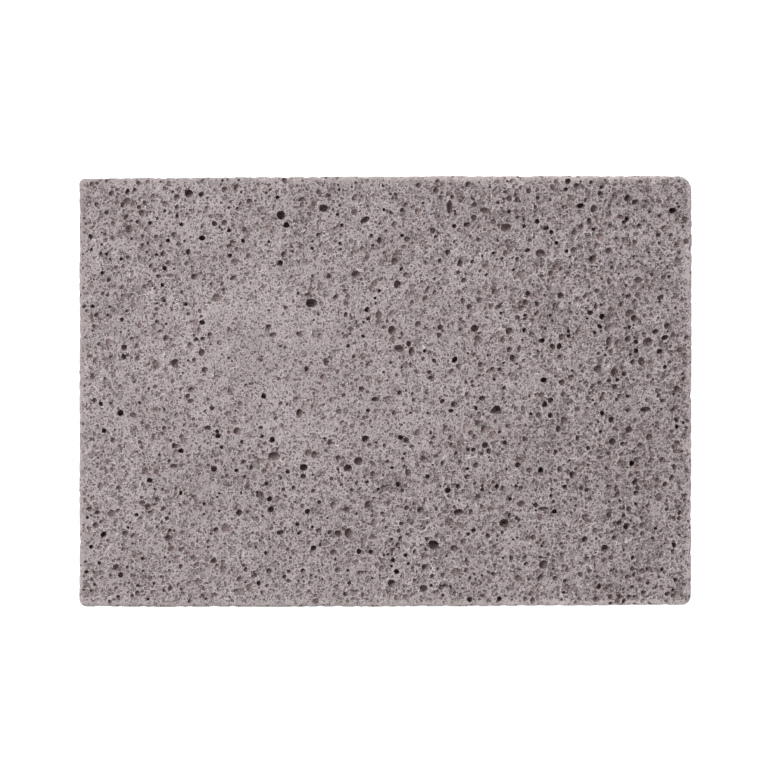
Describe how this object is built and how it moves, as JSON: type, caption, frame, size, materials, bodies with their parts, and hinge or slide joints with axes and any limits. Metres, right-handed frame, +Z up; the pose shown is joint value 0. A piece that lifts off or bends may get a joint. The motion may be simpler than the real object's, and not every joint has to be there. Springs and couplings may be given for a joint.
{
  "type": "pumice stone",
  "caption": "Flat sawn block of grey-mauve pumice with rubbed edges and open round pores on every face, for rubbing hard skin or scouring by hand.",
  "frame": {"origin": "on the surface that the stone lies on, under the middle of its box", "axes": "+X along the stone's length, +Y across its width, +Z up through its thickness"},
  "size_m": [0.1, 0.0704, 0.025],
  "materials": {
    "pumice": "matt, open-pored grey-mauve volcanic foam"
  },
  "bodies": {
    "root": {"pumice_stone": "pumice"}
  },
  "joints": []
}
